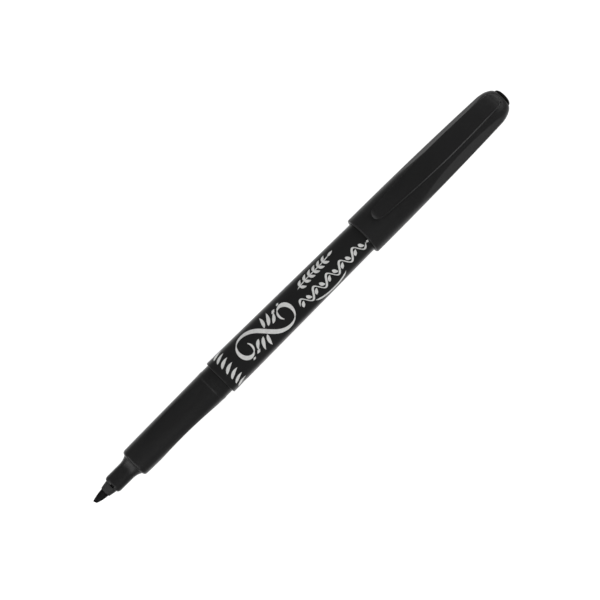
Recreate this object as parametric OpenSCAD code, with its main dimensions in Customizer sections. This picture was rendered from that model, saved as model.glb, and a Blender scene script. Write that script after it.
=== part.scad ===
// Calligraphy marker with its cap posted on the tail: a fibre nib in a vented sleeve, a grip
// section with three finger flats, a tapered barrel round an ink reservoir, and a cap with a
// sealing liner, an end plug and a pocket clip.
// The marker lies along X, nib towards -X, with the pocket clip straight up. Millimetres.
// Each piece is drawn standing on Z, where Z is the distance from the nib's writing edge.

/* [Nib] */
// Length of nib that shows in front of its sleeve
nib_exposed_l = 4.2; // [3.6:0.05:4.8]
// Diameter of the fibre rod
nib_d = 2.62; // [2.3:0.02:2.7]
// Width of the writing edge
nib_edge_w = 1.06; // [0.8:0.02:1.4]
// Thickness of the writing edge
nib_edge_t = 0.42; // [0.3:0.02:0.8]

/* [Nib sleeve] */
// Diameter of the sleeve's front rim
sleeve_front_d = 3.2; // [3.1:0.05:3.5]
// Diameter at the foot of the sleeve's cone
sleeve_back_d = 4.06; // [3.8:0.02:4.2]
// Length of the cone
sleeve_cone_l = 2.4; // [2:0.1:3]
// Width of each air vent at the foot of the cone
vent_w = 1.1; // [0.8:0.1:1.4]

/* [Grip section] */
// Diameter of the collar that the cap's liner seals on
collar_d = 5.46; // [5.3:0.02:5.6]
// Distance from the writing edge to the front of the grip
grip_front_u = 15.1; // [14.5:0.1:15.5]
// Diameter just behind the grip's rounded front edge
grip_front_d = 8.85; // [8.6:0.05:9]
// Diameter at the back of the grip
grip_back_d = 9.72; // [9.5:0.02:9.8]
// Number of finger flats
finger_flats = 3; // [2:1:4]
// Depth of a finger flat at its middle
flat_depth = 0.45; // [0.2:0.05:0.5]
// Length of a finger flat
flat_l = 21.5; // [16:0.5:23]
// Diameter of the seat that the cap closes on
seat_d = 9.68; // [9.5:0.02:9.72]

/* [Barrel] */
// Distance from the writing edge to the barrel's front shoulder
barrel_front_u = 48.75; // [48.5:0.25:49.5]
// Length of the barrel
barrel_l = 83.55; // [80:0.05:84]
// Diameter at the barrel's shoulder
barrel_front_d = 10.97; // [10.9:0.01:11]
// Diameter lost for each millimetre towards the tail
barrel_taper = 0.0227; // [0.022:0.0001:0.024]

/* [Cap] */
// Distance from the writing edge to the mouth of the posted cap
cap_mouth_u = 104.5; // [103.5:0.25:105.5]
// Length of the cap's shell
cap_l = 54.85; // [54.6:0.05:55.3]
// Outer diameter at the mouth
cap_mouth_d = 12; // [11.8:0.1:12.4]
// Diameter of the bore at the mouth
cap_bore_d = 9.88; // [9.86:0.01:9.95]
// Depth of the lens-shaped facet on the printed side of the clip
facet_depth = 0.6; // [0.3:0.05:0.65]
// Angle from the clip to the middle of that facet
facet_a = 71; // [65:1:77]
// Depth of the shallower facet on the other side of the clip
far_facet_depth = 0.3; // [0.2:0.05:0.4]
// Angle from the clip to the middle of the shallower facet
far_facet_a = 55; // [50:1:60]

/* [Pocket clip] */
// Length of the clip
clip_l = 49.3; // [46:0.1:49.5]
// Width of the clip at its widest point
clip_w = 6.1; // [5.6:0.1:6.6]
// Thickness of the clip along its middle
clip_t = 0.8; // [0.7:0.05:1]
// Clear gap between the clip's blade and the cap
clip_gap = 0.35; // [0.3:0.05:0.4]

/* [Hidden] */
$fn = 96;
eps = 0.01;
fit_gap = 0.02;
curve_steps = 14;

// Overall sizes and where the marker lies
plug_dome_l = 1.35;
marker_l = cap_mouth_u + cap_l + plug_dome_l;
axis_h = cap_mouth_d / 2;

// The marker was turned by this much from its clip when its grip and nib were set
turn_a = 14;

// Nib: the ogive loses radius by a power of the distance from the sleeve
nib_r = nib_d / 2;
nib_back_u = 36;
ogive_power = 1.7;
ogive_k = (nib_r - nib_edge_w / 2) / pow(nib_exposed_l, ogive_power);
chisel_l = nib_exposed_l + 0.4;
chisel_a = atan((nib_r - nib_edge_t / 2) / chisel_l);
edge_slant_a = 22;

// Nib sleeve
sleeve_back_u = nib_exposed_l + sleeve_cone_l;
sleeve_stem_r = 1.9;
sleeve_stem_end_u = 14.2;
sleeve_edge_r = 0.12;
vent_l = 0.75;
vent_depth = 0.75;
vent_lap = 0.1;
vent_a = turn_a + 5;

// Grip section
collar_r = collar_d / 2;
shoulder_l = 1.1;
collar_front_u = sleeve_back_u + shoulder_l;
collar_back_u = 12.2;
fillet_power = 2.2;
grip_edge_r = 0.9;
grip_edge_from_a = 10;
grip_run_in_l = 2.1;
grip_run_in_h = 0.07;
grip_front_r = grip_front_d / 2;
fillet_k = (grip_front_r - grip_edge_r - collar_r) / pow(grip_front_u - collar_back_u, fillet_power);
bead_u = 45.7;
bead_half_l = 0.7;
bead_h = 0.055;
bead_from_a = 20;
seat_front_u = bead_u + bead_half_l;
spigot_bore_r = 4.3;
spigot_r = spigot_bore_r - fit_gap;
spigot_end_u = 60;
spigot_chamfer_l = 0.4;
spigot_chamfer_h = 0.2;
chamber_front_u = 30;
chamber_r = 3.65;
feed_bore_r = 1.45;
flat_mid_u = 30.65;
flat_first_a = -13;
flat_over_r = (grip_front_d + grip_back_d) / 4;
flat_bottom_r = flat_over_r - flat_depth;
flat_r = pow(flat_l / 2, 2) / (2 * flat_depth);

// Barrel, reservoir and tail plug
barrel_end_u = barrel_front_u + barrel_l;
barrel_bore_r = 3.75;
barrel_edge_r = 0.28;
reservoir_r = 3.5;
reservoir_front_u = 31.5;
reservoir_back_u = 124;
film_t = 0.1;
film_inset = 0.5;
tail_flange_l = 1;
tail_stem_l = 6.3;
tail_wall = 0.9;
tail_edge = 0.4;
tail_stem_chamfer_l = 0.5;
tail_stem_chamfer_h = 0.25;

// Cap: its outline is a parabola from the mouth and then a quarter ellipse
cap_r = cap_mouth_d / 2;
cap_bow = 0.000366;
dome_start = cap_l - 5.3;
dome_len = 5.75;
dome_r = 3;
mouth_edge_r = 0.45;
mouth_chamfer_l = 0.35;
mouth_chamfer_h = 0.25;
dome_step = 0.8;
dome_last_step = 0.6;
bow_from = 2;
cap_bore_r = cap_bore_d / 2;
bore_straight_l = 6;
bore_end = 35.55;
bore_end_r = 4.62;
pocket_r = 4.3;
pocket_end = 51.35;
plug_hole_r = 1.9;
facet_mid = 35.9;
facet_half_l = 16.5;
facet_tilt_a = atan(2 * cap_bow * facet_mid);
facet_r = 1 / (2 * (facet_depth / pow(facet_half_l, 2) - cap_bow));
far_facet_r = 1 / (2 * (far_facet_depth / pow(facet_half_l, 2) - cap_bow));

// Cap liner and end plug
liner_bore_r = 2.9;
liner_tube_r = 3.7;
liner_end_t = 0.8;
liner_lead_h = 0.3;
liner_lead_l = 0.5;
liner_flange_r = pocket_r - fit_gap;
liner_flange_t = 1.2;
plug_r = 2.85;
plug_power = 3;
plug_stem_l = 3;
plug_lead_h = 0.3;
plug_lead_l = 0.4;

// Pocket clip and the round bead that it turns on
clip_root_inset = 0.5;
clip_tip = cap_l - clip_root_inset - clip_l;
clip_wide_share = 0.535;
clip_wide_at = clip_wide_share * clip_l;
clip_taper_power = 1.7;
clip_nose_l = 2.4;
clip_tip_r = 1.75;
clip_root_r = 2.4;
clip_root_gap = 0.25;
clip_root_lift_loss = 0.35;
clip_gap_from = 46.75;
clip_gap_to = 51.75;
clip_step = 2;
hinge_inset = 1.9;
hinge_x = cap_l - hinge_inset;
hinge_h = 3.9;
hinge_r = 0.5;
hinge_clearance = 0.05;
hinge_l = 3.6;
neck_t = 0.7;
neck_lap = 0.1;
neck_clearance = 0.15;

// Radius of the nib's ogive at a distance from the writing edge
function ogive_r(u) = nib_r - ogive_k * pow(nib_exposed_l - u, ogive_power);

// Radius of the barrel at a distance from the writing edge
function barrel_r(u) = (barrel_front_d - barrel_taper * (u - barrel_front_u)) / 2;

// Radius of the cap's outline at a distance x from its mouth
function cap_bow_r(x) = cap_r - cap_bow * x * x;
function cap_out_r(x) =
    x < dome_start
        ? cap_bow_r(x)
        : cap_bow_r(dome_start) - dome_r + dome_r * sqrt(max(0, 1 - pow((x - dome_start) / dome_len, 2)));

// Radius of the end plug's head at a height over the cap's end
function plug_dome_r(h) = plug_r * pow(1 - pow(h / plug_dome_l, plug_power), 1 / plug_power);

// Gap under the clip and height of its top over the cap, at a distance x from the cap's mouth
function ramp(x, a, b) = min(1, max(0, (x - a) / (b - a)));
function clip_gap_at(x) = clip_gap + (clip_root_gap - clip_gap) * ramp(x, clip_gap_from, clip_gap_to);
function clip_nose(x) = sqrt(max(0, 1 - pow(1 - ramp(x, clip_tip, clip_tip + clip_nose_l), 2)));
function clip_top_at(x) =
    clip_gap_at(x) + (clip_t - clip_root_lift_loss * ramp(x, clip_gap_to, cap_l)) * clip_nose(x);

// Half the clip's width at a distance x from its tip
function clip_half_w(x) =
    x < clip_wide_at
        ? clip_w / 2 - (clip_w / 2 - clip_tip_r) * pow(1 - x / clip_wide_at, clip_taper_power)
        : clip_w / 2 - (clip_w / 2 - clip_root_r) * pow((x - clip_wide_at) / (clip_l - clip_wide_at), 2);

// Values from a to b in equal steps
function steps(a, b, n = curve_steps) = [for (i = [0:n]) a + (b - a) * i / n];

// Stands on the writing edge in the piece's own frame; this lays it along X with the clip up
module lay() {
    translate([-marker_l / 2, 0, axis_h])
        rotate([0, 90, 0])
            rotate([0, 0, 180])
                children();
}

// A solid turned from [radius, distance] points
module turned(points) {
    rotate_extrude()
        polygon(points);
}

module rod(r, from, to) {
    translate([0, 0, from])
        cylinder(r = r, h = to - from);
}

// A shallow scoop, flat across and hollow along, cut into a round surface by a wide drum
module scoop(mid_u, around_a, bottom_r, drum_r, tilt_a = 0) {
    rotate([0, 0, around_a])
        translate([bottom_r + drum_r * cos(tilt_a), 0, mid_u + drum_r * sin(tilt_a)])
            rotate([90, 0, 0])
                cylinder(r = drum_r, h = 4 * grip_back_d, center = true, $fn = 256);
}

// Fibre rod ground to a slanted chisel edge
module nib() {
    color([0.06, 0.06, 0.065])
        lay()
            rotate([0, 0, turn_a])
                difference() {
                    union() {
                        turned(concat(
                            [[0, 0]],
                            [for (u = steps(0, nib_exposed_l)) [ogive_r(u), u]],
                            [[0, nib_exposed_l]]
                        ));
                        rod(nib_r, nib_exposed_l, nib_back_u);
                    }
                    for (side = [-1, 1])
                        translate([side * nib_edge_t / 2, 0, 0])
                            rotate([0, side * chisel_a, 0])
                                translate([side * nib_d, 0, 0])
                                    cube([2 * nib_d, 2 * nib_d, 4 * nib_d], center = true);
                    translate([0, -nib_edge_w / 2, 0])
                        rotate([edge_slant_a, 0, 0])
                            translate([0, 0, -nib_d])
                                cube(2 * nib_d, center = true);
                }
}

// Tapered sleeve that holds the nib, with air vents at the foot of its cone
module nib_sleeve() {
    front_r = sleeve_front_d / 2;
    back_r = sleeve_back_d / 2;
    color([0.17, 0.17, 0.17])
        lay()
            difference() {
                turned([
                    [nib_r, nib_exposed_l],
                    [front_r - sleeve_edge_r, nib_exposed_l],
                    [front_r, nib_exposed_l + sleeve_edge_r],
                    [back_r, sleeve_back_u],
                    [sleeve_stem_r, sleeve_back_u],
                    [sleeve_stem_r, sleeve_stem_end_u],
                    [nib_r, sleeve_stem_end_u]
                ]);
                vents();
            }
}

// Two opposite air vents, cut into the sleeve's foot and the collar's shoulder
module vents() {
    for (half_turn = [0, 180])
        rotate([0, 0, vent_a + half_turn])
            translate([sleeve_back_d / 2 - vent_depth + vent_l, 0, sleeve_back_u + vent_l / 2 - vent_lap])
                cube([2 * vent_l, vent_w, vent_l], center = true);
}

// Collar, concave fillet, grip with finger flats, snap bead, cap seat and barrel spigot
module grip_section() {
    shoulder_h = collar_r - sleeve_back_d / 2;
    edge_u = grip_front_u + grip_edge_r;
    color([0.1, 0.1, 0.105])
        lay()
            difference() {
                turned(concat(
                    [[sleeve_stem_r, sleeve_back_u]],
                    [for (a = steps(0, 90)) [
                        sleeve_back_d / 2 + shoulder_h * sin(a),
                        collar_front_u - shoulder_l * cos(a)
                    ]],
                    [for (u = steps(collar_back_u, grip_front_u)) [
                        collar_r + fillet_k * pow(u - collar_back_u, fillet_power), u
                    ]],
                    [for (a = steps(grip_edge_from_a, 90)) [
                        grip_front_r - grip_edge_r * (1 - sin(a)),
                        edge_u - grip_edge_r * cos(a)
                    ]],
                    [
                        [grip_front_r + grip_run_in_h, edge_u + grip_run_in_l],
                        [grip_back_d / 2, bead_u - bead_half_l]
                    ],
                    [for (a = steps(bead_from_a, 180 - bead_from_a, 6)) [
                        grip_back_d / 2 + bead_h * sin(a),
                        bead_u - bead_half_l * cos(a)
                    ]],
                    [
                        [seat_d / 2, seat_front_u],
                        [seat_d / 2, barrel_front_u],
                        [spigot_r, barrel_front_u],
                        [spigot_r, spigot_end_u - spigot_chamfer_l],
                        [spigot_r - spigot_chamfer_h, spigot_end_u],
                        [chamber_r, spigot_end_u],
                        [chamber_r, chamber_front_u],
                        [feed_bore_r, chamber_front_u],
                        [feed_bore_r, sleeve_stem_end_u],
                        [sleeve_stem_r, sleeve_stem_end_u]
                    ]
                ));
                for (i = [0:finger_flats - 1])
                    scoop(flat_mid_u, flat_first_a + i * 360 / finger_flats, flat_bottom_r, flat_r);
                vents();
            }
}

// Tapered tube with a rounded front shoulder
module barrel() {
    edge_u = barrel_front_u + barrel_edge_r;
    color([0.09, 0.09, 0.095])
        lay()
            turned(concat(
                [[spigot_bore_r, barrel_front_u]],
                [for (a = steps(0, 90, 8)) [
                    barrel_r(edge_u) - barrel_edge_r * (1 - sin(a)),
                    edge_u - barrel_edge_r * cos(a)
                ]],
                [
                    [barrel_r(barrel_end_u), barrel_end_u],
                    [barrel_bore_r, barrel_end_u],
                    [barrel_bore_r, spigot_end_u],
                    [spigot_bore_r, spigot_end_u]
                ]
            ));
}

// Fibre filler that holds the ink, with a blind hole for the nib's back end
module ink_reservoir() {
    color([0.16, 0.15, 0.2])
        lay()
            difference() {
                rod(reservoir_r, reservoir_front_u, reservoir_back_u);
                rod(nib_r, reservoir_front_u - eps, nib_back_u);
            }
}

// Film wrapped round the filler
module reservoir_film() {
    color([0.8, 0.82, 0.84])
        lay()
            difference() {
                rod(reservoir_r + film_t, reservoir_front_u + film_inset, reservoir_back_u - film_inset);
                rod(reservoir_r, reservoir_front_u, reservoir_back_u);
            }
}

// Cup-shaped plug that closes the barrel's tail
module tail_plug() {
    flange_r = barrel_r(barrel_end_u) - fit_gap;
    color([0.08, 0.08, 0.085])
        lay()
            turned([
                [0, barrel_end_u - tail_wall],
                [barrel_bore_r - tail_wall, barrel_end_u - tail_wall],
                [barrel_bore_r - tail_wall, barrel_end_u - tail_stem_l],
                [barrel_bore_r - tail_stem_chamfer_h, barrel_end_u - tail_stem_l],
                [barrel_bore_r, barrel_end_u - tail_stem_l + tail_stem_chamfer_l],
                [barrel_bore_r, barrel_end_u],
                [flange_r, barrel_end_u],
                [flange_r, barrel_end_u + tail_flange_l - tail_edge],
                [flange_r - tail_edge, barrel_end_u + tail_flange_l],
                [0, barrel_end_u + tail_flange_l]
            ]);
}

// Outer shell: bowed outside, bored inside, with a lens-shaped facet on each side of the clip
module cap_shell() {
    color([0.085, 0.085, 0.09])
        lay()
            translate([0, 0, cap_mouth_u])
                difference() {
                    turned(concat(
                        [[cap_bore_r + mouth_chamfer_h, 0]],
                        [for (a = steps(0, 90, 6)) [
                            cap_bow_r(mouth_edge_r) - mouth_edge_r * (1 - sin(a)),
                            mouth_edge_r * (1 - cos(a))
                        ]],
                        [for (x = steps(bow_from, dome_start)) [cap_out_r(x), x]],
                        [for (x = steps(dome_start + dome_step, cap_l - dome_step, 6)) [cap_out_r(x), x]],
                        [for (x = steps(cap_l - dome_last_step, cap_l, 4)) [cap_out_r(x), x]],
                        [
                            [plug_hole_r, cap_l],
                            [plug_hole_r, pocket_end],
                            [pocket_r, pocket_end],
                            [pocket_r, bore_end],
                            [bore_end_r, bore_end],
                            [cap_bore_r, bore_straight_l],
                            [cap_bore_r, mouth_chamfer_l]
                        ]
                    ));
                    scoop(facet_mid, facet_a, cap_out_r(facet_mid) - facet_depth, facet_r, facet_tilt_a);
                    scoop(
                        facet_mid,
                        -far_facet_a,
                        cap_out_r(facet_mid) - far_facet_depth,
                        far_facet_r,
                        facet_tilt_a
                    );
                    hinge_socket();
                }
}

// Groove for the clip's bead, and the slot that the clip's neck comes through
module hinge_socket() {
    translate([hinge_h, 0, hinge_x]) {
        rotate([90, 0, 0])
            cylinder(r = hinge_r + hinge_clearance, h = hinge_l + 2 * hinge_clearance, center = true);
        translate([hinge_h / 2, 0, 0])
            cube([hinge_h, hinge_l + 2 * hinge_clearance, neck_t + 2 * neck_clearance], center = true);
    }
}

// Inner cap that closes round the collar and keeps the nib moist
module cap_liner() {
    color([0.3, 0.3, 0.32])
        lay()
            translate([0, 0, cap_mouth_u])
                turned([
                    [0, pocket_end],
                    [liner_flange_r, pocket_end],
                    [liner_flange_r, pocket_end - liner_flange_t],
                    [liner_tube_r, pocket_end - liner_flange_t],
                    [liner_tube_r, bore_end + liner_flange_t],
                    [liner_flange_r, bore_end + liner_flange_t],
                    [liner_flange_r, bore_end],
                    [liner_bore_r + liner_lead_h, bore_end],
                    [liner_bore_r, bore_end + liner_lead_l],
                    [liner_bore_r, pocket_end - liner_end_t],
                    [0, pocket_end - liner_end_t]
                ]);
}

// Domed plug pressed into the cap's end
module cap_end_plug() {
    color([0.04, 0.04, 0.04])
        lay()
            translate([0, 0, cap_mouth_u])
                turned(concat(
                    [
                        [0, cap_l - plug_stem_l],
                        [plug_hole_r - plug_lead_h, cap_l - plug_stem_l],
                        [plug_hole_r, cap_l - plug_stem_l + plug_lead_l],
                        [plug_hole_r, cap_l]
                    ],
                    [for (h = [for (a = steps(0, 90, 10)) plug_dome_l * sin(a)]) [plug_dome_r(h), cap_l + h]]
                ));
}

// Leaf-shaped blade, flat across and bowed along the cap, with a neck and a round bead at its root
module pocket_clip() {
    xs = concat(
        steps(clip_tip, clip_tip + clip_nose_l, 6),
        steps(clip_tip + clip_nose_l + clip_step, clip_gap_from, 9),
        steps(clip_gap_from + clip_step / 2, clip_tip + clip_l, 9)
    );
    color([0.1, 0.1, 0.105])
        lay()
            translate([0, 0, cap_mouth_u]) {
                intersection() {
                    rotate([90, 0, 0])
                        linear_extrude(2 * clip_w, center = true)
                            polygon(concat(
                                [for (x = xs) [cap_out_r(x) + clip_top_at(x) + eps, x]],
                                [for (i = [len(xs) - 1:-1:0]) [cap_out_r(xs[i]) + clip_gap_at(xs[i]), xs[i]]]
                            ));
                    translate([0, 0, clip_tip])
                        rotate([0, 90, 0])
                            linear_extrude(2 * cap_r)
                                rotate([0, 0, 180])
                                    clip_outline();
                }
                translate([hinge_h, 0, hinge_x]) {
                    rotate([90, 0, 0])
                        cylinder(r = hinge_r, h = hinge_l, center = true);
                    translate([0, -hinge_l / 2, -neck_t / 2])
                        cube([
                            cap_out_r(hinge_x) + clip_root_gap + neck_lap - hinge_h,
                            hinge_l,
                            neck_t
                        ]);
                }
            }
}

// Plan of the clip, from its tip at x = 0
module clip_outline() {
    blade_end = clip_l - clip_root_r;
    blade = steps(clip_tip_r, blade_end, 16);
    translate([clip_tip_r, 0])
        circle(clip_tip_r);
    translate([blade_end, 0])
        circle(clip_half_w(blade_end));
    polygon(concat(
        [for (x = blade) [x, clip_half_w(x)]],
        [for (i = [len(blade) - 1:-1:0]) [blade[i], -clip_half_w(blade[i])]]
    ));
}

nib();
nib_sleeve();
grip_section();
barrel();
ink_reservoir();
reservoir_film();
tail_plug();
cap_shell();
cap_liner();
cap_end_plug();
pocket_clip();
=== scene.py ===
"""Looks of a black calligraphy marker, lying with its cap posted on the tail.

Sizes are in millimetres until the meshes are made. A place along the marker is u, the distance
from the nib's writing edge. A direction round its axis is an angle from straight up towards +Y.
"""

import math

import bmesh
import bpy
import numpy as np
from mathutils import Matrix, Vector
from mathutils.geometry import delaunay_2d_cdt


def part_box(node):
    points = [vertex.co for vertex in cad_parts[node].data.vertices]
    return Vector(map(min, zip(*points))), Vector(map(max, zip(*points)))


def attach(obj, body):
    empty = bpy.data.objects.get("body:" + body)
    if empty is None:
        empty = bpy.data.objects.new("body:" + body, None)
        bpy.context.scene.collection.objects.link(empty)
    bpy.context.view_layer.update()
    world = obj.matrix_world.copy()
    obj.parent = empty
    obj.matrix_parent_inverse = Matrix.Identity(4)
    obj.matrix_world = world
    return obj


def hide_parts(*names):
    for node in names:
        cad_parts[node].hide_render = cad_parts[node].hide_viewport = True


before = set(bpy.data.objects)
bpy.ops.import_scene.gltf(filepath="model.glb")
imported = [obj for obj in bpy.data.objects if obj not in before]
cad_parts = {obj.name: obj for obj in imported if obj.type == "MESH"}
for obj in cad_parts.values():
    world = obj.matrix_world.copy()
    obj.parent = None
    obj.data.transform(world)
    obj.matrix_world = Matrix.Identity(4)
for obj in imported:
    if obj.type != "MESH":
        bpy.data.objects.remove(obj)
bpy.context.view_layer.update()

MM = 0.001


def node_u(node, end):
    """Distance in millimetres from the writing edge to a CAD node's low (0) or high (1) end."""
    return (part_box(node)[end].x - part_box("nib")[0].x) / MM


def node_r(node):
    """Half a round CAD node's width across Y, in millimetres."""
    low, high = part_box(node)
    return (high.y - low.y) / 2 / MM


# Places that the frame gives
TIP_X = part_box("nib")[0].x
BARREL_LOW, BARREL_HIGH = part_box("barrel")
AXIS_Z = (BARREL_LOW.z + BARREL_HIGH.z) / 2
SLEEVE_FRONT = node_u("nib_sleeve", 0)
COLLAR_START = node_u("grip_section", 0)
BARREL_FRONT = node_u("barrel", 0)
BARREL_END = node_u("barrel", 1)
CAP_MOUTH = node_u("cap_shell", 0)
CAP_END = node_u("cap_shell", 1)
TAIL = node_u("cap_end_plug", 1)
CLIP_TIP = node_u("pocket_clip", 0)
NIB_R = node_r("nib")
BARREL_R = node_r("barrel")
CAP_R = node_r("cap_shell")
PLUG_R = node_r("cap_end_plug")

# Which way the printed side faces; the nib's broad face and the camera follow it
FACE = math.radians(-14)


# ---------------------------------------------------------------- mesh helpers

def solid(name, verts, faces, material):
    """A closed mesh object from points in millimetres round the marker's axis."""
    mesh = bpy.data.meshes.new(name)
    placed = np.asarray(verts, float) * MM + np.array([TIP_X, 0, AXIS_Z])
    mesh.from_pydata([tuple(v) for v in placed], [], [tuple(int(i) for i in f) for f in faces])
    mesh.materials.append(material)
    obj = bpy.data.objects.new(name, mesh)
    bpy.context.scene.collection.objects.link(obj)
    tidy(obj)
    return obj


def tidy(obj, sharp=35):
    """Merges double points, turns the faces outwards and shades smooth but for the sharp edges."""
    mesh = obj.data
    bm = bmesh.new()
    bm.from_mesh(mesh)
    bmesh.ops.remove_doubles(bm, verts=bm.verts, dist=1e-7)
    bmesh.ops.dissolve_degenerate(bm, edges=bm.edges, dist=1e-7)
    bmesh.ops.recalc_face_normals(bm, faces=bm.faces)
    bm.to_mesh(mesh)
    bm.free()
    mesh.shade_smooth()
    mesh.set_sharp_from_angle(angle=math.radians(sharp))


def combine(obj, other, operation):
    """Cuts other out of obj or joins it on, and removes other."""
    modifier = obj.modifiers.new("combine", "BOOLEAN")
    modifier.object = other
    modifier.operation = operation
    modifier.solver = "EXACT"
    graph = bpy.context.evaluated_depsgraph_get()
    mesh = bpy.data.meshes.new_from_object(obj.evaluated_get(graph))
    obj.modifiers.clear()
    obj.data = mesh
    while len(mesh.materials) > 1:
        mesh.materials.pop(index=len(mesh.materials) - 1)
    bpy.data.objects.remove(other, do_unlink=True)
    tidy(obj)


def place(obj, body, slot, *replaced):
    """Joins a finished piece to its body and hides the CAD nodes that it stands for; slot is not used."""
    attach(obj, body)
    if replaced:
        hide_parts(*replaced)


def turned(rings, around=192, shape=None):
    """Points and faces of a solid turned from (u, r) rings; a ring with r = 0 is a point on the axis.

    Rings that end where they start make a closed tube. shape(u, r, angles) may move a ring's points.
    """
    rings = [tuple(ring) for ring in rings]
    closed = rings[0] == rings[-1]
    if closed:
        rings = rings[:-1]
    angles = np.arange(around) * 2 * math.pi / around
    verts = []
    index = []
    for u, r in rings:
        if r == 0:
            index.append([len(verts)])
            verts.append((u, 0.0, 0.0))
            continue
        us, rs = np.full(around, float(u)), np.full(around, float(r))
        if shape is not None:
            us, rs = shape(us, rs, angles)
        index.append(list(range(len(verts), len(verts) + around)))
        verts.extend(zip(us, rs * np.sin(angles), rs * np.cos(angles)))
    return verts, joined(index, closed)


def joined(index, closed=False):
    """Faces between neighbouring rings of point numbers; a ring of one point closes to a tip."""
    faces = []
    for a, b in zip(index, index[1:] + index[:1] if closed else index[1:]):
        n = max(len(a), len(b))
        for j in range(n):
            k = (j + 1) % n
            if len(a) == 1 and len(b) > 1:
                faces.append((a[0], b[j], b[k]))
            elif len(b) == 1 and len(a) > 1:
                faces.append((a[j], b[0], a[k]))
            elif n > 1:
                faces.append((a[j], b[j], b[k], a[k]))
    return faces


def line(start, end, n):
    """n points from start to end, without the last."""
    a, b = np.array(start, float), np.array(end, float)
    return [tuple(a + (b - a) * i / n) for i in range(n)]


def arc(centre, size, start, end, n):
    """Points on an ellipse from angle start to end in degrees, where 0 is +u and 90 is +r."""
    return [
        (centre[0] + size[0] * math.cos(math.radians(a)), centre[1] + size[1] * math.sin(math.radians(a)))
        for a in np.linspace(start, end, n + 1)
    ]


def bezier(a, b, c, d, n):
    """Points that cut a cubic curve into n parts."""
    a, b, c, d = (np.array(point, float) for point in (a, b, c, d))
    return [
        tuple((1 - q) ** 3 * a + 3 * (1 - q) ** 2 * q * b + 3 * (1 - q) * q ** 2 * c + q ** 3 * d)
        for q in np.linspace(0, 1, n + 1)
    ]


def soft_min(a, b, width):
    """The lower of a and b, with the corner between them rounded over about width."""
    h = np.clip(0.5 + 0.5 * (b - a) / width, 0, 1)
    return b + (a - b) * h - width * h * (1 - h)


def turn_from(angles, centre):
    """Angles measured from centre, between minus and plus half a turn."""
    return (angles - centre + math.pi) % (2 * math.pi) - math.pi


def hollowed(u, r, angles, centre, mid, half_l, depth, bottom, tilt=0.0, soft=0.06):
    """Radius r cut by a wide drum: flat across, hollow along, with softly rounded borders."""
    drum = half_l ** 2 / (2 * depth)
    reach = (u - mid) / math.cos(tilt) - drum * math.sin(tilt)
    height = bottom + drum * math.cos(tilt) - np.sqrt(drum ** 2 - np.minimum(reach, drum * 0.5) ** 2)
    off = turn_from(angles, centre)
    facing = np.abs(off) < 1
    return np.where(facing, soft_min(r, height / np.where(facing, np.cos(off), 1), soft), r)


# ------------------------------------------------------------- material helpers

class Nodes:
    """Adds shader nodes to one material with little writing."""

    def __init__(self, name):
        self.material = bpy.data.materials.new(name)
        self.material.use_nodes = True
        self.tree = self.material.node_tree
        self.shader = self.tree.nodes["Principled BSDF"]
        coordinates = self.add("ShaderNodeTexCoord")
        self.place = coordinates.outputs["Object"]

    def add(self, kind, **settings):
        node = self.tree.nodes.new(kind)
        for key, value in settings.items():
            if hasattr(node, key):
                setattr(node, key, value)
            else:
                node.inputs[key].default_value = value
        return node

    def link(self, output, target):
        self.tree.links.new(output, target)

    def stretched(self, scale):
        """Object coordinates scaled along X, Y and Z."""
        mapping = self.add("ShaderNodeMapping")
        mapping.inputs["Scale"].default_value = scale
        self.link(self.place, mapping.inputs["Vector"])
        return mapping.outputs["Vector"]

    def noise(self, scale, detail, place=None, roughness=0.5):
        node = self.add("ShaderNodeTexNoise")
        node.inputs["Scale"].default_value = scale
        node.inputs["Detail"].default_value = detail
        node.inputs["Roughness"].default_value = roughness
        self.link(place or self.place, node.inputs["Vector"])
        return node.outputs["Fac"]

    def spread(self, value, low, high, to_low, to_high):
        """Maps value from low..high to to_low..to_high."""
        node = self.add("ShaderNodeMapRange")
        for key, number in zip(("From Min", "From Max", "To Min", "To Max"), (low, high, to_low, to_high)):
            node.inputs[key].default_value = number
        self.link(value, node.inputs["Value"])
        return node.outputs["Result"]

    def blend(self, amount, first, second):
        """A colour between two, by amount; each is a colour or an output."""
        node = self.add("ShaderNodeMix", data_type="RGBA")
        self.link(amount, node.inputs[0])
        for socket, colour in ((node.inputs[6], first), (node.inputs[7], second)):
            if isinstance(colour, bpy.types.NodeSocket):
                self.link(colour, socket)
            else:
                socket.default_value = (*colour, 1)
        return node.outputs[2]

    def sum(self, first, second):
        node = self.add("ShaderNodeMath", operation="ADD")
        self.link(first, node.inputs[0])
        self.link(second, node.inputs[1])
        return node.outputs[0]

    def bump(self, height, distance):
        node = self.add("ShaderNodeBump")
        node.inputs["Distance"].default_value = distance
        node.inputs["Strength"].default_value = 1
        self.link(height, node.inputs["Height"])
        return node.outputs["Normal"]


def grey(value):
    return (value, value, value * 1.02)


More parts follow.
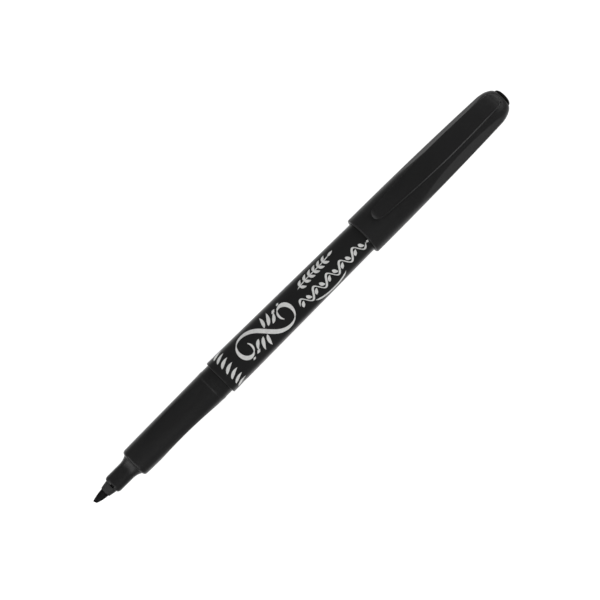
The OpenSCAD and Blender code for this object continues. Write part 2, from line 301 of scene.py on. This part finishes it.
def moulded_plastic(name, dark, light, roughness, grain, depth, specular=0.3):
    """Moulded plastic: eroded grain, faint flow marks, fine dust in the grain and uneven gloss.

    dark and light are grey levels. grain is the grain's width, and depth its depth, in millimetres.
    """
    n = Nodes(name)
    flow = n.noise(90, 3, n.stretched((0.35, 1, 1)))
    speckle = n.noise(0.35 / (grain * MM), 2)
    fine = n.noise(1 / (grain * MM), 3, roughness=0.6)
    mottled = n.blend(n.spread(flow, 0.35, 0.65, 0, 1), grey(dark), grey(light))
    dusty = n.blend(n.spread(speckle, 0.62, 0.8, 0, 0.35), mottled, grey(light * 2.2))
    n.link(dusty, n.shader.inputs["Base Color"])
    gloss = n.sum(
        n.spread(flow, 0.3, 0.7, roughness - 0.03, roughness + 0.03),
        n.spread(fine, 0.3, 0.7, -0.04, 0.04),
    )
    n.link(gloss, n.shader.inputs["Roughness"])
    n.link(n.bump(fine, depth * MM), n.shader.inputs["Normal"])
    n.shader.inputs["Specular IOR Level"].default_value = specular
    return n.material


def bonded_fibre(name, dark, light, strand, roughness, specular=0.3, along=0.02):
    """Fibres that run along the marker, bonded side by side; strand is their width in millimetres."""
    n = Nodes(name)
    strands = n.noise(1 / (strand * MM), 3, n.stretched((along, 1, 1)), roughness=0.7)
    damp = n.noise(700, 3)
    fibre = n.blend(n.spread(strands, 0.35, 0.65, 0, 1), dark, light)
    n.link(n.blend(n.spread(damp, 0.4, 0.7, 0, 0.5), fibre, dark), n.shader.inputs["Base Color"])
    n.link(n.spread(damp, 0.35, 0.65, roughness - 0.12, roughness + 0.1), n.shader.inputs["Roughness"])
    n.link(n.bump(strands, strand * 0.6 * MM), n.shader.inputs["Normal"])
    n.shader.inputs["Specular IOR Level"].default_value = specular
    return n.material


def printed_ink(name):
    """White pad-printed ink: slightly uneven cover, fine pinholes and a soft satin surface."""
    n = Nodes(name)
    cover = n.noise(1800, 4)
    grain = n.noise(14000, 2)
    ink = n.blend(n.spread(cover, 0.3, 0.7, 0, 1), (0.56, 0.56, 0.55), (0.67, 0.67, 0.66))
    pinholed = n.blend(n.spread(grain, 0.68, 0.8, 0, 0.5), ink, (0.35, 0.35, 0.35))
    n.link(pinholed, n.shader.inputs["Base Color"])
    n.link(n.spread(cover, 0.3, 0.7, 0.42, 0.58), n.shader.inputs["Roughness"])
    n.link(n.bump(grain, 0.004 * MM), n.shader.inputs["Normal"])
    return n.material


def clear_film(name):
    """Thin clear film with a faint wrinkle."""
    n = Nodes(name)
    wrinkle = n.noise(400, 2, n.stretched((0.2, 1, 1)))
    n.link(n.blend(wrinkle, (0.75, 0.78, 0.8), (0.85, 0.87, 0.88)), n.shader.inputs["Base Color"])
    n.link(n.spread(wrinkle, 0.3, 0.7, 0.08, 0.2), n.shader.inputs["Roughness"])
    n.link(n.bump(wrinkle, 0.05 * MM), n.shader.inputs["Normal"])
    n.shader.inputs["Alpha"].default_value = 0.35
    return n.material


GRIP = moulded_plastic("grip_plastic", 0.007, 0.01, 0.36, 0.11, 0.012, 0.28)
SLEEVE = moulded_plastic("sleeve_plastic", 0.011, 0.015, 0.5, 0.09, 0.01, 0.3)
BARREL = moulded_plastic("barrel_plastic", 0.0065, 0.009, 0.34, 0.16, 0.004, 0.28)
CAP = moulded_plastic("cap_plastic", 0.007, 0.01, 0.44, 0.11, 0.013, 0.28)
CLIP = moulded_plastic("clip_plastic", 0.007, 0.01, 0.42, 0.11, 0.012, 0.28)
LINER = moulded_plastic("liner_plastic", 0.05, 0.065, 0.4, 0.15, 0.004, 0.4)
TAIL_PLUG = moulded_plastic("plug_plastic", 0.008, 0.011, 0.45, 0.12, 0.008)
END_PLUG = moulded_plastic("end_plug_plastic", 0.001, 0.0016, 0.4, 0.1, 0.003, 0.05)
NIB = bonded_fibre("nib_fibre", (0.0015, 0.0015, 0.0018), (0.005, 0.005, 0.0055), 0.05, 0.65, 0.1)
RESERVOIR = bonded_fibre("reservoir_fibre", (0.006, 0.006, 0.012), (0.03, 0.03, 0.05), 0.08, 0.7)
INK = printed_ink("print_ink")
FILM = clear_film("clear_film")

for node, material in {
    "ink_reservoir": RESERVOIR,
    "reservoir_film": FILM,
    "tail_plug": TAIL_PLUG,
    "cap_liner": LINER,
    "cap_end_plug": END_PLUG,
    "nib_sleeve": SLEEVE,
    "grip_section": GRIP,
    "nib": NIB,
    "barrel": BARREL,
    "cap_shell": CAP,
    "pocket_clip": CLIP,
}.items():
    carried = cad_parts[node]
    carried.data.materials.clear()
    carried.data.materials.append(material)


# ------------------------------------------------------------------- the pieces

# Each end of the two air vents, in u, how wide they are, and how far they reach towards the axis
VENT_FROM, VENT_TO = COLLAR_START - 0.1, COLLAR_START + 0.65
VENT_W = 1.1
VENT_FLOOR_R = 1.45
VENT_ANGLES = (FACE - math.radians(5), FACE - math.radians(5) + math.pi)


def in_vent(r, angles):
    """Which of a ring's points lie in an air vent."""
    return np.any([np.abs(turn_from(angles, a)) * r < VENT_W / 2 for a in VENT_ANGLES], axis=0)


def make_nib():
    """Round fibre rod that narrows to a slanted, blunt chisel edge with worn corners."""
    edge_w, edge_t, worn, least_t = 0.53, 0.21, 0.17, 0.03
    side_power, face_power = 1.7, 1.25
    slant = math.tan(math.radians(22))
    back, back_edge = node_u("nib", 1), 0.2
    around = 96
    angles = np.arange(around) * 2 * math.pi / around
    length = SLEEVE_FRONT

    def section(wide, thin, power):
        """Points on a superellipse, as across the broad face and out of it."""
        c, s = np.cos(angles), np.sin(angles)
        grow = (np.abs(c / wide) ** power + np.abs(s / thin) ** power) ** (-1 / power)
        return grow * c, grow * s

    rings = []
    for a in np.linspace(0, 90, 7):
        inset = worn * (1 - math.sin(math.radians(a)))
        rings.append((worn * (1 - math.cos(math.radians(a))), edge_w - inset, edge_t - inset, 3.0))
    for u in np.linspace(worn, length, 26)[1:]:
        left = 1 - u / length
        wide = NIB_R - (NIB_R - edge_w) * left ** side_power
        thin = min(wide, edge_t + (NIB_R - edge_t) * (1 - left ** face_power))
        rings.append((u, wide, thin, 2 + left ** 0.5))
    rings.append((back - back_edge, NIB_R, NIB_R, 2.0))
    rings.append((back, NIB_R - back_edge, NIB_R - back_edge, 2.0))
    verts = [(slant * edge_w, 0.0, 0.0)]
    index = [[0]]
    for u, wide, thin, power in rings:
        across, out = section(wide, max(thin, least_t), power)
        lean = slant * (edge_w - across) * max(0, 1 - u / length) ** 2
        y = across * math.cos(FACE) + out * math.sin(FACE)
        z = out * math.cos(FACE) - across * math.sin(FACE)
        index.append(list(range(len(verts), len(verts) + around)))
        verts.extend(zip(u + lean, y, z))
    index.append([len(verts)])
    verts.append((back, 0.0, 0.0))
    place(solid("nib_fibre_rod", verts, joined(index), NIB), "barrel", "nib_fibre", "nib")


def make_sleeve():
    """Thin tapered tube round the nib, notched by the air vents at its foot."""
    front_r, foot_r, stem_r = 1.6, 2.03, 1.88
    bore_r = NIB_R + 0.015
    rim = 0.1
    stem_end = node_u("nib_sleeve", 1)
    cone = [
        (u, front_r + (foot_r - front_r) * (u - SLEEVE_FRONT) / (COLLAR_START - SLEEVE_FRONT))
        for u in (SLEEVE_FRONT + rim, SLEEVE_FRONT + 0.4, VENT_FROM - 0.3, VENT_FROM - 0.01, VENT_FROM)
    ]
    rings = arc((SLEEVE_FRONT + rim, bore_r + rim), (rim, rim), 270, 180, 5)
    rings += arc((SLEEVE_FRONT + rim, front_r - rim), (rim, rim), 180, 90, 5)
    rings += cone[1:] + [
        (COLLAR_START - 0.02, foot_r),
        (COLLAR_START, foot_r - 0.02),
        (COLLAR_START, stem_r),
        (VENT_TO, stem_r),
        (VENT_TO + 0.01, stem_r),
        (stem_end - 0.1, stem_r),
        (stem_end, stem_r - 0.1),
        (stem_end, bore_r),
    ]

    def vented(u, r, angles):
        cut = in_vent(r, angles) & (u >= VENT_FROM) & (u <= VENT_TO) & (r > VENT_FLOOR_R)
        return u, np.where(cut, VENT_FLOOR_R, r)

    verts, faces = turned(rings + rings[:1], 288, vented)
    place(solid("nib_holder", verts, faces, SLEEVE), "barrel", "sleeve_plastic", "nib_sleeve")


def make_grip():
    """Collar, fillet, grip with three finger flats, snap bead, cap seat and the spigot in the barrel."""
    stem_r, foot_r, collar_r = 1.9, 2.03, 2.73
    collar_front, collar_back = COLLAR_START + 1.1, 12.2
    front, front_r, edge = 15.1, 4.425, 0.9
    back_r, seat_r = node_r("grip_section") - 0.055, 4.84
    bead_u, bead_l, bead_h = 45.7, 0.7, 0.055
    spigot_r, spigot_end = 4.27, node_u("grip_section", 1)
    chamber_u, chamber_r = 30.0, 3.65
    feed_r, feed_u = 1.45, 14.2
    flats, first_flat = 3, 13
    flat_mid, flat_half_l, flat_depth = 30.65, 10.75, 0.45
    flat_bottom = (front_r + back_r) / 2 - flat_depth
    shoulder_l = collar_front - COLLAR_START
    fillet_l = front - collar_back
    fillet_h = front_r - edge - collar_r

    rings = arc((collar_front, foot_r), (shoulder_l, collar_r - foot_r), 180, 90, 18)
    rings += line((collar_front + 0.4, collar_r), (collar_back, collar_r), 4)
    rings += [
        (collar_back + fillet_l * q, collar_r + fillet_h * q ** 2.2) for q in np.linspace(0, 1, 15)
    ]
    rings += arc((front + edge, front_r - edge), (edge, edge), 172, 90, 12)
    rings += line((front + edge + 0.7, front_r + 0.035), (front + edge + 2.1, front_r + 0.07), 3)
    rings += line((front + edge + 2.1, front_r + 0.07), (bead_u - bead_l, back_r), 80)
    rings += arc((bead_u, back_r), (bead_l, bead_h), 180, 0, 12)
    rings += [
        (bead_u + bead_l + 0.1, seat_r),
        (BARREL_FRONT - 0.06, seat_r),
        (BARREL_FRONT, seat_r - 0.06),
        (BARREL_FRONT, spigot_r),
        (spigot_end - 0.4, spigot_r),
        (spigot_end, spigot_r - 0.2),
        (spigot_end, chamber_r),
        (chamber_u, chamber_r),
        (chamber_u, feed_r),
        (feed_u, feed_r),
        (feed_u, stem_r),
        (VENT_TO, stem_r),
        (COLLAR_START, stem_r),
    ]

    def gripped(u, r, angles):
        u = np.where(in_vent(r, angles) & (u < VENT_TO), VENT_TO, u)
        for i in range(flats):
            centre = math.radians(first_flat + i * 360 / flats)
            r = hollowed(u, r, angles, centre, flat_mid, flat_half_l, flat_depth, flat_bottom)
        return u, r

    verts, faces = turned(rings + rings[:1], 288, gripped)
    place(solid("grip", verts, faces, GRIP), "barrel", "grip_plastic", "grip_section")


# How much the barrel's radius falls for each millimetre of its length
BARREL_TAPER = 0.01135


def barrel_r(u):
    """Radius of the tapered barrel."""
    return BARREL_R - BARREL_TAPER * (u - BARREL_FRONT)


def make_barrel():
    """Smooth tapered tube with a rounded shoulder."""
    edge, tail_edge = 0.28, 0.15
    spigot_r, spigot_end, bore_r = 4.3, 60.0, 3.77
    shoulder = BARREL_FRONT + edge
    rings = [(BARREL_FRONT, spigot_r)]
    rings += arc((shoulder, barrel_r(shoulder) - edge), (edge, edge), 180, 90, 8)
    rings += [(u, barrel_r(u)) for u in np.linspace(shoulder, BARREL_END - tail_edge, 40)[1:]]
    rings += [
        (BARREL_END, barrel_r(BARREL_END) - tail_edge),
        (BARREL_END, bore_r),
        (spigot_end, bore_r),
        (spigot_end, spigot_r),
    ]
    verts, faces = turned(rings + rings[:1])
    place(solid("barrel_tube", verts, faces, BARREL), "barrel", "barrel_plastic", "barrel")


# The cap's radius falls by CAP_BOW times the square of the distance from its mouth, then by a dome
CAP_L = CAP_END - CAP_MOUTH
CAP_BOW = 0.000366
DOME_FROM = CAP_L - 5.3
DOME_L, DOME_R = 5.75, 3.0

# The bead that the clip turns on: its place from the mouth and over the axis, its radius and length
HINGE_X, HINGE_H = CAP_L - 1.9, 3.9
HINGE_R, HINGE_L = 0.5, 3.6


def cap_outline(x):
    """Point on the cap's outline x from its mouth, as (x, r), and the outward direction there."""
    if x < DOME_FROM:
        slope = -2 * CAP_BOW * x
        r = CAP_R - CAP_BOW * x * x
    else:
        sine = min((x - DOME_FROM) / DOME_L, 0.999)
        cosine = math.sqrt(1 - sine * sine)
        r = CAP_R - CAP_BOW * DOME_FROM ** 2 - DOME_R * (1 - cosine)
        slope = -2 * CAP_BOW * DOME_FROM * cosine - DOME_R / DOME_L * sine / cosine
    size = math.hypot(slope, 1)
    return np.array((x, r)), np.array((-slope / size, 1 / size))


def hinge_block(name, clearance, top, thickness):
    """Round bead with a straight neck above it: the clip's root, or the room for it in the cap."""
    r = HINGE_R + clearance
    half_l = HINGE_L / 2 + clearance
    edge, inset = 0.06, 0.02
    rings = [
        (-half_l, 0.0),
        (-half_l, r - edge),
        (-half_l + edge, r),
        (half_l - edge, r),
        (half_l, r - edge),
        (half_l, 0.0),
    ]
    verts, faces = turned(rings, 48)
    bead = [(CAP_MOUTH + HINGE_X + b, a, HINGE_H + c) for a, b, c in verts]
    block = solid(name, bead, faces, CLIP)
    corners = [
        (CAP_MOUTH + HINGE_X + i * thickness / 2, j * (half_l - inset), h)
        for h in (HINGE_H, top)
        for i, j in ((-1, -1), (1, -1), (1, 1), (-1, 1))
    ]
    sides = [(j, (j + 1) % 4, (j + 1) % 4 + 4, j + 4) for j in range(4)]
    neck = solid(name + "_neck", corners, [(0, 1, 2, 3), (4, 5, 6, 7)] + sides, CLIP)
    combine(block, neck, "UNION")
    return block


def make_cap():
    """Bowed shell with a rounded mouth, a stepped bore, long side facets and a socket for the clip."""
    edge, lip = 0.45, 0.3
    bore_r, bore_straight, bore_end_r, bore_end = 4.94, 6.0, 4.62, 35.55
    pocket_r, pocket_end, hole_r = 4.3, 51.35, 1.92
    facet_mid, facet_half_l = 35.9, 16.5
    facet_tilt = math.atan(2 * CAP_BOW * facet_mid)
    facets = ((-71, 0.6, 0.13), (55, 0.3, 0.06))
    socket_gap, socket_top, slot_w = 0.05, HINGE_H + 3, 1.0
    dome_end = math.degrees(math.asin((CAP_L - DOME_FROM) / DOME_L))

    rings = arc((lip, bore_r + lip), (lip, lip), 270, 180, 6)
    rings += arc((edge, CAP_R - edge), (edge, edge), 180, 90, 10)
    rings += [tuple(cap_outline(x)[0]) for x in np.linspace(edge + 0.3, DOME_FROM, 120)]
    for a in np.linspace(0, dome_end, 24)[1:]:
        rings.append(tuple(cap_outline(DOME_FROM + DOME_L * math.sin(math.radians(a)))[0]))
    face_r = rings[-1][1]
    rings[-1] = (CAP_L - 0.03, face_r + 0.02)
    rings += [
        (CAP_L, face_r - 0.05),
        (CAP_L, hole_r),
        (pocket_end, hole_r),
        (pocket_end, pocket_r),
        (bore_end, pocket_r),
        (bore_end, bore_end_r),
        (bore_straight, bore_r),
    ]
    rings = [(CAP_MOUTH + x, r) for x, r in rings]

    def faceted(u, r, angles):
        """Cuts the facets, each given by its angle in degrees, its depth and how soft its border is."""
        for a, depth, soft in facets:
            bottom = cap_outline(facet_mid)[0][1] - depth
            half_l = math.sqrt(depth / (depth / facet_half_l ** 2 - CAP_BOW))
            r = hollowed(
                u - CAP_MOUTH, r, angles, math.radians(a), facet_mid, half_l,
                depth, bottom, facet_tilt, soft,
            )
        return u, r

    verts, faces = turned(rings + rings[:1], 288, faceted)
    shell = solid("cap_body", verts, faces, CAP)
    combine(shell, hinge_block("socket", socket_gap, socket_top, slot_w), "DIFFERENCE")
    place(shell, "cap", "cap_plastic", "cap_shell")


def make_end_plug():
    """Domed plug with its stem in the cap's end."""
    stem_r, stem_end, lead, rim = 1.9, CAP_END - 3, 0.3, 0.06
    dome, power = TAIL - CAP_END, 3
    rings = [(stem_end, 0.0), (stem_end, stem_r - lead), (stem_end + lead, stem_r), (CAP_END, stem_r)]
    rings.append((CAP_END, PLUG_R - rim))
    for a in np.linspace(4, 86, 22):
        height = math.sin(math.radians(a))
        rings.append((CAP_END + dome * height, PLUG_R * (1 - height ** power) ** (1 / power)))
    rings.append((TAIL, 0.0))
    verts, faces = turned(rings, 128)
    place(solid("end_plug", verts, faces, END_PLUG), "cap", "end_plug_plastic", "cap_end_plug")


def make_clip():
    """Leaf-shaped blade with soft edges, flat across and bowed along the cap, on a neck and bead."""
    tip = CLIP_TIP - CAP_MOUTH
    root = CAP_L - 1.2
    length = root - tip
    widest, tip_half, root_half, half = 0.535 * length, 1.75, 2.4, 3.05
    gap, root_gap, thick, root_thick = 0.35, 0.25, 0.8, 0.5
    thinning_from, thinning_l = 46.75, 5
    nose, end_edge = 2.4, 0.5
    draft, top_edge, low_edge = 0.15, 0.15, 0.06
    neck_lap, neck_t = 0.2, 0.7

    def half_width(x):
        if x < widest:
            w = half - (half - tip_half) * (1 - x / widest) ** 1.7
        else:
            w = half - (half - root_half) * ((x - widest) / (length - widest)) ** 2
        if x < tip_half:
            w *= math.sqrt(1 - (1 - x / tip_half) ** 2)
        if x > length - root_half:
            w *= math.sqrt(max(0, 1 - ((x - length + root_half) / root_half) ** 2))
        return w

    def section(w, t):
        """Loop of (sideways, height) points, with sides that lean inwards and soft corners."""
        low = min(low_edge, 0.9 * w, 0.2 * t)
        top = min(top_edge, 0.3 * w, 0.3 * t)
        lean = min(draft, 0.4 * w)
        right = [((w - low) * q, 0.0) for q in np.linspace(0, 1, 8)[:-1]]
        right += arc((w - low, low), (low, low), -90, 0, 4)
        right += line((w, low), (w - lean, t - top), 4)[1:]
        right += bezier((w - lean, t - top), (w - lean, t), (w - lean, t), (w - lean - top, t), 5)
        right += [((w - lean - top) * q, t) for q in np.linspace(1, 0, 10)[1:]]
        return right + [(-y, h) for y, h in right[-2:0:-1]]

    turns = np.linspace(0, math.pi / 2, 15)
    stations = [tip_half * (1 - math.cos(a)) for a in turns[1:]]
    stations += list(np.linspace(tip_half, length - root_half, 60)[1:])
    stations += [length - root_half + root_half * math.sin(a) for a in turns[1:-1]]
    verts = [(CAP_MOUTH + tip, 0.0, cap_outline(tip)[0][1] + gap)]
    index = [[0]]
    for x in stations:
        point, out = cap_outline(tip + x)
        near_root = min(1, max(0, (tip + x - thinning_from) / thinning_l))
        space = gap + (root_gap - gap) * near_root
        nosed = math.sqrt(1 - max(0, 1 - x / nose) ** 2)
        ended = math.sqrt(1 - max(0, 1 - (length - x) / end_edge) ** 2)
        t = (thick + (root_thick - thick) * near_root) * nosed
        loop = section(half_width(x), t)
        index.append(list(range(len(verts), len(verts) + len(loop))))
        for y, h in loop:
            u, r = point + out * (space + t / 2 + (h - t / 2) * ended)
            verts.append((CAP_MOUTH + u, y, r))
    point, out = cap_outline(root)
    u, r = point + out * (root_gap + root_thick / 2)
    index.append([len(verts)])
    verts.append((CAP_MOUTH + u, 0.0, r))
    clip = solid("clip_blade", verts, joined(index), CLIP)
    neck_top = cap_outline(HINGE_X)[0][1] + root_gap + neck_lap
    combine(clip, hinge_block("root", 0.0, neck_top, neck_t), "UNION")
    place(clip, "clip", "clip_plastic", "pocket_clip")


# -------------------------------------------------------------------- the print

# The print is laid out flat: u along the barrel, and v round it from the printed side towards +Y

def ribbon(path, widths):
    """Small triangles that cover a path as broad as widths says at each of its points."""
    path = np.asarray(path, float)
    step = np.gradient(path, axis=0)
    size = np.hypot(step[:, 0], step[:, 1])[:, None]
    side = np.stack((-step[:, 1], step[:, 0]), axis=1) / size
    across = 1 + math.ceil(max(widths) / 0.35)
    rows = [path + side * (np.asarray(widths)[:, None] * (j / (across - 1) - 0.5)) for j in range(across)]
    triangles = []
    for low, high in zip(rows, rows[1:]):
        for i in range(len(path) - 1):
            triangles += [(low[i], low[i + 1], high[i + 1]), (low[i], high[i + 1], high[i])]
    return triangles


def pen(path, broad, thin=0.22, hold=45, taper=0.12):
    """Stroke of a broad pen held at an angle, thick or thin by its direction, tapered at its ends."""
    path = np.asarray(path, float)
    step = np.gradient(path, axis=0)
    turn = np.arctan2(step[:, 1], step[:, 0]) - math.radians(hold)
    q = np.linspace(0, 1, len(path))
    ends = np.clip(np.minimum(q, 1 - q) / taper, 0.12, 1) ** 0.7
    return ribbon(path, (thin + (broad - thin) * np.abs(np.sin(turn))) * ends)


def leaf(base, tip, width, bend=0.0, n=12):
    """Pointed leaf from base to tip, bent sideways by a share of its length."""
    base, tip = np.array(base, float), np.array(tip, float)
    run = tip - base
    side = np.array((-run[1], run[0])) * bend
    path = bezier(base, base + run / 3 + side, base + run * 2 / 3 + side, tip, n)
    q = np.linspace(0, 1, n + 1)
    return ribbon(path, 0.03 + width * np.sin(math.pi * q ** 0.8) ** 0.9)


def lozenge(centre, length, width, lean):
    """Slanted diamond, as a broad pen dots it."""
    q = np.linspace(-1, 1, 9)
    path = np.stack((centre[0] + q * length / 2, centre[1] + q * length / 2 * lean), axis=1)
    return ribbon(path, 0.02 + width * (1 - np.abs(q)))


def scroll(length, height, reach=2.0, n=150):
    """Double spiral whose curvature grows evenly with the distance from its middle, lying along u."""
    q = np.linspace(-reach, reach, 2 * n + 1)
    heading = math.pi / 2 * q ** 2 - math.pi / 4
    path = np.cumsum(np.stack((np.cos(heading), np.sin(heading)), axis=1), axis=0)
    path -= path[n]
    return path / np.abs(path).max(axis=0) * np.array((length / 2, height / 2))


def wrap_print(name, triangles):
    """Joins flat triangles into one outline and lays it on the barrel as a thin film of ink."""
    coords = []
    faces = []
    for triangle in triangles:
        (ax, ay), (bx, by), (cx, cy) = triangle
        area = (bx - ax) * (cy - ay) - (cx - ax) * (by - ay)
        if abs(area) < 1e-5:
            continue
        faces.append(tuple(range(len(coords), len(coords) + 3)))
        coords += [Vector(p) for p in (triangle if area > 0 else triangle[::-1])]
    flat, _, cells, _, _, sources = delaunay_2d_cdt(coords, [], faces, 0, 1e-4, True)
    inked = [cell for cell, source in zip(cells, sources) if source]
    used = sorted({i for cell in inked for i in cell})
    number = {i: j for j, i in enumerate(used)}
    verts = []
    for height in (0.02, -0.01):
        for i in used:
            u, v = flat[i]
            r = barrel_r(u) + height
            angle = FACE + v / barrel_r(u)
            verts.append((u, r * math.sin(angle), r * math.cos(angle)))
    n = len(used)
    top = [tuple(number[i] for i in cell) for cell in inked]
    faces = top + [tuple(i + n for i in cell[::-1]) for cell in top]
    edges = {(cell[j], cell[(j + 1) % 3]) for cell in top for j in range(3)}
    faces += [(b, a, a + n, b + n) for a, b in edges if (b, a) not in edges]
    place(solid(name, verts, faces, INK), "barrel", "print_ink")


def print_band():
    """Ring of slanted leaves round the barrel's front."""
    middle, length, count = 52.5, 3.3, 17
    pitch = 2 * math.pi * barrel_r(middle) / count
    shapes = []
    for i in range(count):
        v = (i + 0.5 - count / 2) * pitch
        shapes += leaf((middle - length / 2, v - 0.75), (middle + length / 2, v + 0.75), 0.95, 0.14)
    wrap_print("print_band", shapes)


def print_scroll():
    """Large double spiral with a fan of leaves on each side."""
    centre = np.array((66.7, 0.25))
    shapes = pen(scroll(19.3, 8.2) + centre, 1.25, hold=45, taper=0.06)
    for side in (-1, 1):
        for base, tip, width in (
            ((0.3, 0.9), (1.2, 4.3), 0.95),
            ((1.5, 0.5), (3.5, 3.9), 1.0),
            ((2.9, 0.1), (5.0, 2.4), 0.9),
        ):
            shapes += leaf(centre + side * np.array(base), centre + side * np.array(tip), width, -0.12)
        shapes += lozenge(centre + side * np.array((-5.2, -2.6)), 1.5, 0.9, 0.4)
        shapes += lozenge(centre + side * np.array((-7.4, -3.3)), 1.1, 0.7, 0.4)
    wrap_print("print_scroll", shapes)


def print_sprig():
    """Leaves in pairs along a thin stem."""
    start, end, count = 81.0, 93.8, 6
    stem = bezier((start, 2.3), (start + 5, 3.4), (end - 5, 2.4), (end, 3.2), 60)
    shapes = pen(stem, 0.34, 0.26, taper=0.05)
    for i in range(count):
        root = np.array(stem[4 + 9 * i])
        for rise in (1.55, -1.3):
            shapes += leaf(root, root + np.array((1.5, rise)), 0.85, 0.13 if rise > 0 else -0.13)
    shapes += leaf(stem[-3], (end + 1.6, 3.5), 0.8)
    wrap_print("print_sprig", shapes)


def print_garland():
    """Waving vine with a leaf in each of its hollows, and a long swash under it."""
    start, end, waves, middle, swing = 78.3, 103.5, 5, -1.65, 1.35
    q = np.linspace(0, 1, 300)
    path = np.stack((start + (end - start) * q, middle + swing * np.sin(2 * math.pi * waves * q)), axis=1)
    shapes = pen(path, 0.62, 0.26, hold=-55, taper=0.03)
    pitch = (end - start) / (2 * waves)
    for i in range(2 * waves):
        side = -1 if i % 2 else 1
        root = np.array((start + (i + 0.22) * pitch, middle - 1.0 * side))
        shapes += leaf(root, root + np.array((0.46 * pitch, 1.5 * side)), 0.95, 0.12 * side)
    shapes += pen(bezier((82.6, -3.7), (85.4, -6.0), (91.4, -6.2), (94.2, -3.9), 60), 0.7, 0.2, hold=80)
    shapes += lozenge((104.1, -1.9), 1.1, 0.8, 0.3)
    wrap_print("print_garland", shapes)


for make in (
    make_nib, make_sleeve, make_grip, make_barrel, make_cap, make_end_plug, make_clip,
    print_band, print_scroll, print_sprig, print_garland,
):
    make()


# ------------------------------------------------------------- camera and lights

# The camera's distance, how far along the marker it stands over, and how much of it the frame holds
VIEW_DISTANCE = 470.0
VIEW_FOOT = -23.7
VIEW_W = 166.75
VIEW_SHIFT = (-0.68, 0.28)
ROLL = math.radians(44.81)
TOWARD_VIEWER = Vector((0, math.sin(FACE), math.cos(FACE)))


def add_camera():
    """Long-lens camera over the marker, rolled so that the nib points down and left."""
    tilt = math.asin(VIEW_FOOT / VIEW_DISTANCE)
    back = TOWARD_VIEWER * math.cos(tilt) + Vector((math.sin(tilt), 0, 0))
    along = (Vector((1, 0, 0)) - back * back.x).normalized()
    across = back.cross(along)
    right = along * math.cos(ROLL) - across * math.sin(ROLL)
    up = along * math.sin(ROLL) + across * math.cos(ROLL)
    middle = Vector((0, 0, AXIS_Z)) + (along * VIEW_SHIFT[0] - across * VIEW_SHIFT[1]) * MM
    data = bpy.data.cameras.new("camera")
    data.sensor_width = 36
    data.lens = data.sensor_width * VIEW_DISTANCE / VIEW_W
    data.clip_start = 0.01
    data.clip_end = 20
    camera = bpy.data.objects.new("camera", data)
    turn = Matrix((right, up, back)).transposed().to_4x4()
    camera.matrix_world = Matrix.Translation(middle + back * VIEW_DISTANCE * MM) @ turn
    bpy.context.scene.collection.objects.link(camera)
    bpy.context.scene.camera = camera


def glowing(name, colour, strength):
    """Matt pale surface that also gives off light."""
    n = Nodes(name)
    n.shader.inputs["Base Color"].default_value = (colour, colour, colour, 1)
    n.shader.inputs["Roughness"].default_value = 0.9
    n.shader.inputs["Specular IOR Level"].default_value = 0
    n.shader.inputs["Emission Color"].default_value = (1, 1, 1, 1)
    n.shader.inputs["Emission Strength"].default_value = strength
    return n.material


def add_floor():
    """Pale backlit table, and a pale wall round it that only the camera sees."""
    size, tone, glow = 3.0, 0.3, 0.92
    corners = [(-size, -size), (size, -size), (size, size), (-size, size)]
    mesh = bpy.data.meshes.new("floor")
    mesh.from_pydata([(x, y, 0) for x, y in corners], [], [(0, 1, 2, 3)])
    mesh.materials.append(glowing("floor", tone, glow))
    floor = bpy.data.objects.new("floor", mesh)
    wall = bpy.data.meshes.new("wall")
    sides = [(j, (j + 1) % 4, (j + 1) % 4 + 4, j + 4) for j in range(4)]
    wall.from_pydata([(x, y, z) for z in (-0.1, 2 * size) for x, y in corners], [], sides)
    wall.materials.append(glowing("wall", tone, glow))
    backdrop = bpy.data.objects.new("wall", wall)
    backdrop.visible_diffuse = False
    backdrop.visible_shadow = False
    for obj in (floor, backdrop):
        obj.visible_glossy = False
        bpy.context.scene.collection.objects.link(obj)


def add_light(name, location, width, length, power):
    """Soft box that faces the marker, with its length across it."""
    data = bpy.data.lights.new(name, "AREA")
    data.shape = "RECTANGLE"
    data.size = length
    data.size_y = width
    data.energy = power
    light = bpy.data.objects.new(name, data)
    light.location = location
    light.rotation_mode = "QUATERNION"
    light.rotation_quaternion = Vector(location).to_track_quat("Z", "Y")
    bpy.context.scene.collection.objects.link(light)


def add_world():
    """Pale room, brighter low round the marker than over it.

    From faint to full are the cosines, of the angle from the viewer, between which it brightens.
    """
    over, under = 0.27, 1.2
    faint, full = -0.33, -0.8
    world = bpy.data.worlds.new("studio")
    world.use_nodes = True
    tree = world.node_tree
    background = tree.nodes["Background"]
    direction = tree.nodes.new("ShaderNodeTexCoord")
    facing = tree.nodes.new("ShaderNodeVectorMath")
    facing.operation = "DOT_PRODUCT"
    facing.inputs[1].default_value = TOWARD_VIEWER
    ramp = tree.nodes.new("ShaderNodeMapRange")
    ramp.interpolation_type = "SMOOTHSTEP"
    for key, number in (("From Min", faint), ("From Max", full), ("To Min", over), ("To Max", under)):
        ramp.inputs[key].default_value = number
    tree.links.new(direction.outputs["Generated"], facing.inputs[0])
    tree.links.new(facing.outputs["Value"], ramp.inputs["Value"])
    tree.links.new(ramp.outputs["Result"], background.inputs["Strength"])
    background.inputs["Color"].default_value = (1, 1, 1, 1)
    bpy.context.scene.world = world


add_camera()
add_floor()
add_world()
add_light("key", (-0.8, -0.05, 0.53), width=0.7, length=2.8, power=13)
add_light("fill", (0.8, -0.1, 0.4), width=0.35, length=1.5, power=5)
bpy.context.scene.view_settings.view_transform = "Standard"
